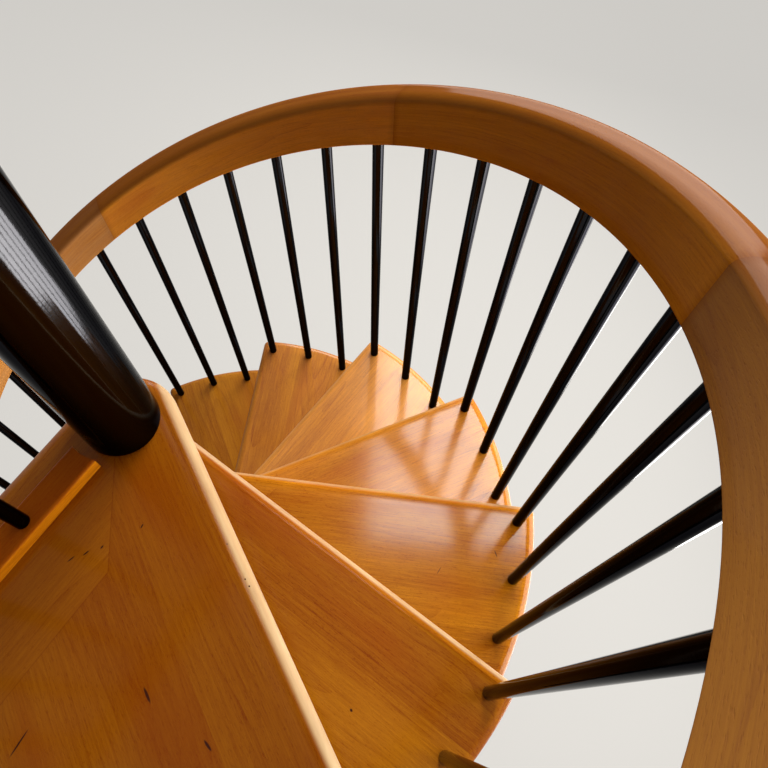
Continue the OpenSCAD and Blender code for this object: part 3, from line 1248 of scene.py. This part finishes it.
@dataclass
class Landing:
    """The landing board, its kerb and the guard rail above it."""

    flight: Flight
    corner_r: float = 0.014
    kerb_w: float = 0.040
    kerb_h: float = 0.025
    kerb_r: float = 0.005
    kerb_low_r: float = 0.001
    kerb_end_r: float = 0.003
    kerb_offset: float = 0.003
    kerb_gap: float = 0.016
    guard_gap: float = 0.0003
    guard_top: float = 1.000
    guard_end: float = 0.750
    bar_step: float = 0.050
    # The board's low brightness is painted shade and its worn front edge also a painted highlight; the
    # kerb's high brightness is painted light on its lit inner face
    board_look: WoodPiece = WoodPiece(
        "landing_board", "landing", Slot.BEECH, 0.72, 0.75, 31.0, wear_and_highlight=1.0, wear_and_highlight_depth=0.016
    )
    kerb_look: WoodPiece = WoodPiece("kerb_bar", "landing_kerb", Slot.BEECH, 1.56, 0.4, 32.0)
    guard_look: WoodPiece = WoodPiece("guard_rail_bar", "guard_rail", Slot.RAIL, 1.0, 0.2, 33.0)

    def outline(self) -> List[Arc]:
        """Returns the landing's outline, with its front edge along +X."""
        f = self.flight
        span = f.landing_span
        half = span / 2
        shift = (f.landing_offset - f.nosing_offset) / 2
        hub = (shift * math.tan(math.radians(half)), shift)
        back = self._corner(-span - 90, f.nosing_offset, -half, f.landing_reach)
        front = self._corner(-half, f.landing_reach, 90.0, f.landing_offset)
        return [
            Arc(hub, f.nosing_offset + shift, 90.0, 270.0 - span, RIM_STEPS),
            Arc(back, self.corner_r, -span - 90.0, -half, CORNER_STEPS),
            Arc(front, self.corner_r, -half, 90.0, CORNER_STEPS),
        ]

    def _corner(self, turn_a: float, far_a: float, turn_b: float, far_b: float) -> Flat:
        """Returns the centre of the rounding between two edges.

        Args:
            turn_a: direction in which the first edge faces.
            far_a: distance of that edge from the origin.
            turn_b: direction in which the second edge faces.
            far_b: distance of that edge from the origin.

        Returns:
            The centre of the corner's arc.
        """
        a, b = math.radians(turn_a), math.radians(turn_b)
        p, q = far_a - self.corner_r, far_b - self.corner_r
        across = math.sin(b - a)
        return (
            (p * math.sin(b) - q * math.sin(a)) / across,
            (q * math.cos(a) - p * math.cos(b)) / across,
        )

    def build(
        self,
        board_finish: bpy.types.Material,
        kerb_finish: bpy.types.Material,
        rail_finish: bpy.types.Material,
    ) -> None:
        """Makes the board, the kerb and the guard rail.

        Args:
            board_finish: the wood of the landing.
            kerb_finish: the wood of the kerb.
            rail_finish: the wood of the guard rail.
        """
        f = self.flight
        board = Board(self.outline(), f.landing_offset, f.core_r, f.board_t)
        lay_wood(board, self.board_look, f.landing_dir, f.landing_top - f.board_t, board_finish)
        kerb = Bar(
            self.kerb_w, self.kerb_h, self.kerb_r, self.kerb_low_r, self.guard_end, self.bar_step,
            end_round=self.kerb_end_r, cut_r=f.post_r + self.kerb_gap, cut_y=self.kerb_offset,
        )
        rail = Bar(
            f.rail_w, f.rail_h, f.rail_top_r, f.rail_low_r, self.guard_end, self.bar_step,
            end_round=f.rail_end_r, cut_r=f.post_r + self.guard_gap, cut_y=self.kerb_offset,
        )
        rail_z = f.landing_top + self.guard_top - f.rail_h
        for bar, look, height, finish in (
            (kerb, self.kerb_look, f.landing_top, kerb_finish),
            (rail, self.guard_look, rail_z, rail_finish),
        ):
            lay_wood(bar, look, f.landing_back, height, finish, self.kerb_offset)


# Steel


def rod_tree() -> GeometryGraph:
    """Builds the tree that stands upright rods on points.

    Returns:
        The tree. Each point of the geometry is a rod's foot, and its attribute length gives its height.
    """
    g = GeometryGraph("stand_rods")
    radius = g.value("Radius")
    chamfer = g.value("Chamfer")
    sides = g.value("Sides", "Int")
    length = g.attribute("length", "FLOAT")
    # The shaft is 1 m long, stands on its foot, and is scaled to its rod's length between the chamfers
    sizes = {"Vertices": sides, "Radius": radius, "Depth": 1.0}
    shaft = g.node("GeometryNodeMeshCylinder", sizes, fill_type="NONE").outputs["Mesh"]
    standing = {"Geometry": shaft, "Translation": (0.0, 0.0, 0.5)}
    shaft = g.node("GeometryNodeTransform", standing).outputs[0]
    body = g.math("SUBTRACT", length, g.math("MULTIPLY", chamfer, 2.0))
    parts = [g.lift(g.copies(g.geometry, shaft, Scale=g.join(1.0, 1.0, body)), chamfer)]
    # Each chamfer is a cone, open where it meets the shaft
    slim = g.math("SUBTRACT", radius, chamfer)
    top = g.math("SUBTRACT", length, chamfer)
    for low_r, high_r, meeting, height in ((slim, radius, "Top", 0.0), (radius, slim, "Bottom", top)):
        sizes = {"Vertices": sides, "Radius Top": high_r, "Radius Bottom": low_r, "Depth": chamfer}
        cone = g.node("GeometryNodeMeshCone", sizes, fill_type="NGON").outputs
        opening = {"Geometry": cone["Mesh"], "Selection": cone[meeting]}
        ring = g.node("GeometryNodeDeleteGeometry", opening, domain="FACE", mode="ONLY_FACE").outputs[0]
        parts.append(g.lift(g.copies(g.geometry, ring), height))
    joined = g.node("GeometryNodeJoinGeometry")
    for part in parts:
        g.tree.links.new(part, joined.inputs[0])
    g.finish(joined.outputs[0])
    return g


@dataclass
class Balusters:
    """The round black rods of the flight and of the landing's guard."""

    flight: Flight
    landing: Landing
    chamfer: float = 0.0008
    sides: int = 40
    guard_first: float = 0.175
    guard_pitch: float = 0.106
    guard_count: int = 6

    def build(self, material: bpy.types.Material) -> None:
        """Makes one piece a node.

        Args:
            material: the rods' paint.
        """
        f = self.flight
        tree = rod_tree()
        stands = []
        for n in range(1, f.tread_count + 1):
            turns = [f.baluster_dir(n, b) for b in range(f.balusters_each)]
            feet = [self._foot(turn, n * f.riser) for turn in turns]
            stands.append((f"tread_rods_{n:02d}", f"balusters_{n:02d}", feet))
        foot = self._foot(f.landing_baluster_dir, f.landing_top)
        stands.append(("landing_rod", "landing_baluster", [foot]))
        stands.append(("guard_rods", "guard_balusters", self.guard_feet()))
        sizes = {"Radius": f.rod_r, "Chamfer": self.chamfer, "Sides": self.sides}
        for name, node, feet in stands:
            mesh = bpy.data.meshes.new(name)
            mesh.from_pydata([place for place, _ in feet], [], [])
            layer = mesh.attributes.new("length", "FLOAT", "POINT")
            layer.data.foreach_set("value", [length for _, length in feet])
            piece = add_object(name, mesh)
            tree.apply(piece, Material=material, **sizes)
            weld(piece.data)
            even_shading(piece, ROUND_EDGE)
            publish(piece, Slot.BLACK, node)

    def _foot(self, turn: float, height: float) -> Tuple[Point, float]:
        """Returns a rod's foot on the flight's circle, and its length into its socket."""
        f = self.flight
        x, y = polar(f.baluster_r, turn)
        return (x, y, height), f.rail_z(turn) + f.socket_depth - height

    def guard_feet(self) -> List[Tuple[Point, float]]:
        """Returns the feet and lengths of the guard's rods."""
        f = self.flight
        low = f.landing_top + self.landing.kerb_h
        high = f.landing_top + self.landing.guard_top - f.rail_h + f.socket_depth
        turn = Quaternion((0.0, 0.0, 1.0), math.radians(f.landing_back))
        feet = []
        for i in range(self.guard_count):
            reach = self.guard_first + i * self.guard_pitch
            place = turn @ Vector((reach, self.landing.kerb_offset, low))
            feet.append((tuple(place), high - low))
        return feet


def weld(mesh: bpy.types.Mesh) -> None:
    """Merges a mesh's doubles and makes its faces smooth and outward."""
    bm = bmesh.new()
    bm.from_mesh(mesh)
    bmesh.ops.remove_doubles(bm, verts=bm.verts, dist=SAME_WELDED_POINT)
    bmesh.ops.recalc_face_normals(bm, faces=bm.faces)
    for part in bm.faces:
        part.smooth = True
    bm.to_mesh(mesh)
    bm.free()


def lathe(name: str, profile: Sequence[Flat], sides: int = 96) -> bpy.types.Mesh:
    """Turns a profile about the post's axis.

    Args:
        name: name of the mesh.
        profile: closed outline as radius and height; a radius of 0 lies on the axis.
        sides: number of facets round.

    Returns:
        The mesh, with outward faces.
    """
    made = Shape()
    rings = [made.ring(circle(r, z, sides)) for r, z in profile]
    for i, ring in enumerate(rings):
        made.bridge(ring, rings[(i + 1) % len(rings)])
    mesh = made.mesh(name)
    weld(mesh)
    return mesh


def stack_tree() -> GeometryGraph:
    """Returns the tree that repeats a sleeve up the post."""
    g = GeometryGraph("stack_sleeves")
    count = g.value("Count", "Int")
    line = g.node("GeometryNodeMeshLine", {"Count": count, "Offset": g.join(0.0, 0.0, g.value("Pitch"))})
    g.finish(g.copies(line.outputs[0], g.geometry))
    return g


@dataclass
class Post:
    """The black post: a sleeve between every two treads, the upper post and its cap."""

    flight: Flight
    wall: float = 0.003
    disc_t: float = 0.006
    edge: float = 0.0012
    edge_middle: float = 0.3
    rise: float = 1.040
    cap_t: float = 0.008
    cap_dome: float = 0.006
    rim_r: float = 0.0025
    rim_steps: int = 5
    dome_steps: int = 12

    def build(self, paint: bpy.types.Material) -> None:
        """Makes the post's pieces.

        Args:
            paint: the black paint.
        """
        f = self.flight
        stack = stack_tree()
        gap = f.riser - f.board_t
        sleeves = add_object("post_sleeve_stack", self._sleeve("sleeve", f.riser, gap))
        stack.apply(sleeves, Count=f.tread_count, Pitch=f.riser, Material=paint)
        join(sleeves, add_object("low_sleeve", self._sleeve("low_sleeve", f.base_t, gap - f.base_t)))
        upper = add_object("upper_post_tube", self._sleeve("upper", f.landing_top, self.rise))
        cap = add_object("post_cap_dome", self._cap_mesh(f.landing_top + self.rise))
        for piece in (upper, cap):
            piece.data.materials.append(paint)
        for piece, node in ((sleeves, "post_sleeves"), (upper, "upper_post"), (cap, "post_cap")):
            even_shading(piece, ROUND_EDGE)
            publish(piece, Slot.BLACK, node)

    def _sleeve(self, name: str, low: float, height: float) -> bpy.types.Mesh:
        """Returns a hollow sleeve with closing discs, open for the core tube."""
        f = self.flight
        r, e, high = f.post_r, self.edge, low + height
        inner, middle = r - self.wall, e * self.edge_middle
        profile = [(f.core_r, low), (r - e, low), (r - middle, low + middle), (r, low + e)]
        profile += [(x, low + high - z) for x, z in reversed(profile)]
        profile += [
            (f.core_r, high - self.disc_t), (inner, high - self.disc_t),
            (inner, low + self.disc_t), (f.core_r, low + self.disc_t),
        ]
        return lathe(name, profile)

    def _cap_mesh(self, low: float) -> bpy.types.Mesh:
        """Returns the cap, with a rounded rim and a domed top."""
        r, e = self.flight.post_r, self.rim_r
        dome_r = (r * r + self.cap_dome**2) / (2 * self.cap_dome)
        high = low + self.cap_t + self.cap_dome
        profile = [(0.0, low), (r - self.edge, low), (r, low + self.edge)]
        for i in range(self.rim_steps + 1):
            a = math.pi / 2 * i / self.rim_steps
            profile.append((r - e + e * math.cos(a), low + self.cap_t - e + e * math.sin(a)))
        for i in range(1, self.dome_steps + 1):
            x = (r - e) * (1 - i / self.dome_steps)
            profile.append((x, high - (dome_r - math.sqrt(dome_r**2 - x * x))))
        return lathe("post_cap_dome", profile)


def bolt_tree() -> GeometryGraph:
    """Builds the tree that seats a copy of a bolt on each point of another object.

    Returns:
        The tree. Each point's attribute axis is the direction that its bolt's head looks in.
    """
    g = GeometryGraph("seat_bolts")
    spots = g.node("GeometryNodeObjectInfo", {"Object": g.value("Spots", "Object")})
    axis = g.attribute("axis", "FLOAT_VECTOR")
    turn = g.node("FunctionNodeAlignRotationToVector", {"Vector": axis}, axis="Z").outputs[0]
    g.finish(g.copies(spots.outputs["Geometry"], g.geometry, Rotation=turn))
    return g


# Facets round a washer, a domed head, a hexagon and a stud, and steps up a domed head
WASHER_SIDES = 32
DOME_SIDES = 28
HEXAGON = 6
STUD_SIDES = 24
DOME_STEPS = 6


@dataclass(frozen=True)
class Bolt:
    """A bolt as it shows: a washer, a head or nut, and the stud's end, in metres.

    The chamfer of a hexagon is a share of its height and of its radius.
    """

    washer_r: float
    washer_t: float
    head_r: float
    head_t: float
    stud_r: float = 0.0
    stud_end: float = 0.0
    domed: bool = False
    washer_bevel: float = 0.0003
    stud_bevel: float = 0.001
    chamfer: Flat = (0.12, 0.10)

    def mesh(self, name: str) -> bpy.types.Mesh:
        """Returns the bolt, seated at z = 0 and looking up."""
        made = Shape()
        low, high = self.washer_t, self.washer_t + self.head_t
        r, bevel = self.washer_r, self.washer_bevel
        self._turn(made, WASHER_SIDES, [(r, 0.0), (r, low - bevel), (r - bevel, low)])
        r, t = self.head_r, self.head_t
        if self.domed:
            turns = [math.pi / 2 * i / DOME_STEPS for i in range(DOME_STEPS)]
            self._turn(made, DOME_SIDES, [(r * math.cos(a), low + t * math.sin(a)) for a in turns])
        else:
            down, inward = self.chamfer
            self._turn(made, HEXAGON, [(r, low), (r, high - down * t), (r * (1 - inward), high)])
        if self.stud_end:
            r, end, bevel = self.stud_r, high + self.stud_end, self.stud_bevel
            self._turn(made, STUD_SIDES, [(r, low), (r, end - bevel), (r - bevel, end)])
        return made.mesh(name)

    @staticmethod
    def _turn(made: Shape, sides: int, profile: Sequence[Flat]) -> None:
        """Adds a closed solid with this many sides, from its profile's foot to its top."""
        rings = [made.ring(circle(r, z, sides)) for r, z in profile]
        for low, high in zip(rings, rings[1:]):
            made.bridge(low, high)
        made.faces.append(rings[0][::-1])
        made.faces.append(rings[-1])


@dataclass
class Fixings:
    """The bolts that show: under the treads, on the base plate and on the landing's bracket."""

    flight: Flight
    rods: Balusters
    rod_bolt: Bolt = Bolt(0.012, 0.002, 0.0075, 0.0053)
    floor_nut: Bolt = Bolt(0.012, 0.0025, 0.0110, 0.010, 0.006, 0.007)
    bracket_bolt: Bolt = Bolt(0.012, 0.0025, 0.0098, 0.0064)
    screw: Bolt = Bolt(0.0070, 0.0010, 0.0055, 0.0030, domed=True)
    base_bolt_r: float = 0.105
    base_bolts: int = 4
    base_turn: float = 45.0
    bracket_x: Flat = (-0.200, 0.200)
    bracket_face_y: float = -0.644
    bracket_bolt_z: float = 2.490
    screw_x: Tuple[float, ...] = (-0.24, -0.08, 0.08, 0.24)
    screw_y: float = -0.615
    screw_z: float = 2.554

    def build(self, material: bpy.types.Material) -> None:
        """Makes one piece a kind of bolt.

        Args:
            material: the bolts' zinc-plated steel.
        """
        f = self.flight
        tree = bolt_tree()
        down, up, out = (0.0, 0.0, -1.0), (0.0, 0.0, 1.0), (0.0, 1.0, 0.0)
        under = f.landing_top - f.board_t
        rod_spots = [
            (*polar(f.baluster_r, f.baluster_dir(n, b)), n * f.riser - f.board_t)
            for n in range(1, f.tread_count + 1)
            for b in range(f.balusters_each)
        ]
        rod_spots.append((*polar(f.baluster_r, f.landing_baluster_dir), under))
        rod_spots += [(x, y, under) for (x, y, _), _ in self.rods.guard_feet()]
        turns = [self.base_turn + 360.0 * i / self.base_bolts for i in range(self.base_bolts)]
        nut_spots = [(*polar(self.base_bolt_r, turn), f.base_t) for turn in turns]
        bolt_spots = [(x, self.bracket_face_y, self.bracket_bolt_z) for x in self.bracket_x]
        screw_spots = [(x, self.screw_y, self.screw_z) for x in self.screw_x]
        for name, bolt, spots, axis in (
            ("rod_bolts", self.rod_bolt, rod_spots, down),
            ("floor_nuts", self.floor_nut, nut_spots, up),
            ("bracket_bolts", self.bracket_bolt, bolt_spots, out),
            ("bracket_screws", self.screw, screw_spots, down),
        ):
            mesh = bpy.data.meshes.new(name + "_spots")
            mesh.from_pydata(spots, [], [])
            write_vectors(mesh, "axis", [axis] * len(spots))
            places = add_object(name + "_spots", mesh)
            piece = add_object(name, bolt.mesh(name))
            tree.apply(piece, Spots=places, Material=material)
            bpy.data.objects.remove(places)
            even_shading(piece, BOLT_EDGE)
            publish(piece, Slot.STEEL)


def join(target: bpy.types.Object, other: bpy.types.Object) -> None:
    """Moves the mesh of another object into a target's mesh."""
    bm = bmesh.new()
    bm.from_mesh(target.data)
    bm.from_mesh(other.data)
    bm.to_mesh(target.data)
    bm.free()
    bpy.data.objects.remove(other)


# Studio


@dataclass(frozen=True)
class Lamp:
    """A soft rectangular lamp: its place, what it faces, its width and height, watts and colour.

    A lamp that spares the floor doesn't light it.
    """

    name: str
    place: Point
    target: Point
    size: Flat
    power: float
    colour: Colour
    spares_floor: bool = False

    def hang(self, floor: bpy.types.Object) -> None:
        """Adds the lamp to the scene, over this floor."""
        data = bpy.data.lights.new(self.name, "AREA")
        data.shape = "RECTANGLE"
        data.size, data.size_y = self.size
        data.energy = self.power
        data.color = self.colour
        lamp = bpy.data.objects.new(self.name, data)
        lamp.location = self.place
        lamp.rotation_mode = "QUATERNION"
        lamp.rotation_quaternion = (Vector(self.target) - Vector(self.place)).to_track_quat("-Z", "Y")
        bpy.context.scene.collection.objects.link(lamp)
        if self.spares_floor:
            spared = bpy.data.collections.new(self.name + "_spares")
            spared.objects.link(floor)
            spared.collection_objects[0].light_linking.link_state = "EXCLUDE"
            lamp.light_linking.receiver_collection = spared


def seen_directly(g: Graph) -> Socket:
    """Returns 1 for what the camera sees, also in a mirror or through glass, and else 0."""
    path = g.node("ShaderNodeLightPath").outputs
    mirrored = g.math("MAXIMUM", path["Is Glossy Ray"], path["Is Transmission Ray"])
    return g.math("MAXIMUM", path["Is Camera Ray"], mirrored)


@dataclass
class Studio:
    """The pale floor, the lights and the camera."""

    floor_half: float = 30.0
    floor_colour: Colour = (0.15, 0.147, 0.14)
    floor_shade: Colour = (0.144, 0.14112, 0.1344)
    floor_glow: Colour = (0.55, 0.54, 0.52)
    floor_roughness: float = 0.9
    fill: Colour = (0.29, 0.2465, 0.1856)
    backdrop: Colour = (0.58, 0.57, 0.55)
    backdrop_edge: Flat = (0.70, 0.40)
    lamps: Tuple[Lamp, ...] = (
        Lamp("side_panel", (2.6, 0.3, 2.3), (0.0, 0.0, 2.4), (2.6, 2.6), 135.0, (1.0, 0.97, 0.92)),
        Lamp("far_panel", (1.0, 3.3, 2.8), (0.1, 0.0, 2.3), (2.6, 2.4), 125.0, (1.0, 0.97, 0.92)),
        Lamp("top_panel", (0.80, 1.45, 5.2), (0.80, 1.45, 0.0), (1.0, 1.7), 72.0, (1.0, 0.97, 0.93)),
        Lamp("low_panel", (2.3, 0.1, 0.3), (0.0, 0.0, 2.8), (2.4, 0.9), 75.0, (1.0, 0.98, 0.95), True),
    )
    eye: Point = (0.3567, -0.3527, 3.5447)
    turn: Point = (0.424, -0.0102, 0.0518)
    focal_px: float = 736.98
    image_px: float = 768.0
    sensor: float = 36.0
    nearest: float = 0.02

    def build(self) -> None:
        """Makes the floor, the world, the lights and the camera."""
        floor = self._floor()
        self._world()
        for lamp in self.lamps:
            lamp.hang(floor)
        self._camera()

    def _floor(self) -> bpy.types.Object:
        """Makes the floor, which isn't part of the object."""
        h = self.floor_half
        mesh = bpy.data.meshes.new("floor")
        mesh.from_pydata([(-h, -h, 0), (h, -h, 0), (h, h, 0), (-h, h, 0)], [], [(0, 1, 2, 3)])
        g = ShaderGraph("floor")
        where = g.node("ShaderNodeTexCoord").outputs["Object"]
        g.set(
            Base_Color=g.mix(g.noise(where, FLOOR_CLOUDS), self.floor_colour, self.floor_shade),
            Roughness=self.floor_roughness,
            Specular_IOR_Level=0.0,
            Emission_Color=(*self.floor_glow, 1.0),
            Emission_Strength=seen_directly(g),
        )
        mesh.materials.append(g.material)
        floor = add_object("floor", mesh)
        return floor

    def _world(self) -> None:
        """Sets the plain fill light, and the pale backdrop that is seen low down."""
        world = bpy.data.worlds.new("studio")
        world.use_nodes = True
        bpy.context.scene.world = world
        g = Graph(world.node_tree)
        _, _, rise = g.split(g.node("ShaderNodeTexCoord").outputs["Generated"])
        shown = g.math("MULTIPLY", g.remap(rise, *self.backdrop_edge), seen_directly(g))
        colour = g.mix(shown, self.fill, self.backdrop)
        g.feed(world.node_tree.nodes["Background"].inputs["Color"], colour)

    def _camera(self) -> None:
        """Adds the camera at the photograph's viewpoint."""
        data = bpy.data.cameras.new("camera")
        data.sensor_width = self.sensor
        data.lens = self.focal_px / self.image_px * self.sensor
        data.clip_start = self.nearest
        camera = bpy.data.objects.new("camera", data)
        turn = Vector(self.turn)
        camera.location = self.eye
        camera.rotation_mode = "QUATERNION"
        camera.rotation_quaternion = Quaternion(turn.normalized(), turn.length)
        bpy.context.scene.collection.objects.link(camera)
        bpy.context.scene.camera = camera


def keep_node(node: str, material: bpy.types.Material) -> None:
    """Gives a CAD node that stays its finish."""
    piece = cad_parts[node]
    piece.data.materials.clear()
    piece.data.materials.append(material)
    LOG.info("%s: kept, with %s", node, material.name)


def main() -> None:
    """Builds the staircase and the studio, piece by piece."""
    logging.basicConfig(level=logging.INFO, format="%(name)s: %(message)s")
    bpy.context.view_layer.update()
    bpy.context.scene.view_settings.view_transform = "Standard"
    flight = Flight()
    beech = BeechFinish("tread_beech", wear_and_highlight=True, marks=TREAD_MARKS).build()
    broad = BeechFinish("landing_beech", wear_and_highlight=True, marks=LANDING_MARKS, panel=LANDING_PANEL).build()
    # The kerb's and the handrail's tops are darkened: by hand wear on the handrail, and on both by
    # painted shade beside their lit inner faces
    trim = BeechFinish(
        "kerb_beech", stave=0.06, contrast=0.8, handled_and_shaded=(0.0200, 0.0245), patina_and_shade=(0.23, 0.028, 0.0),
        coat=0.25, polish=0.10,
    ).build()
    rail = BeechFinish(
        "handrail_beech", Layup.LAYERED, 0.007, contrast=0.7, wear_and_highlight=True, handled_and_shaded=(0.085, 0.101),
        gloss=0.0, coat=0.05, polish=0.11,
    ).build()
    black = BlackLacquer("black_lacquer").build()
    rod_black = BlackLacquer("rod_lacquer", mirror=(0.020, 0.020, 0.022), edge=0.42).build()
    steel = SteelFinish("plated_steel").build()
    Studio().build()
    Treads(flight).build(beech)
    landing = Landing(flight)
    landing.build(broad, trim, rail)
    Handrail(flight).build(rail)
    rods = Balusters(flight, landing)
    rods.build(rod_black)
    Post(flight).build(black)
    Fixings(flight, rods).build(steel)
    keep_node("core_tube", steel)
    keep_node("base_plate", black)
    keep_node("landing_bracket", black)


if __name__ == "__main__":
    main()
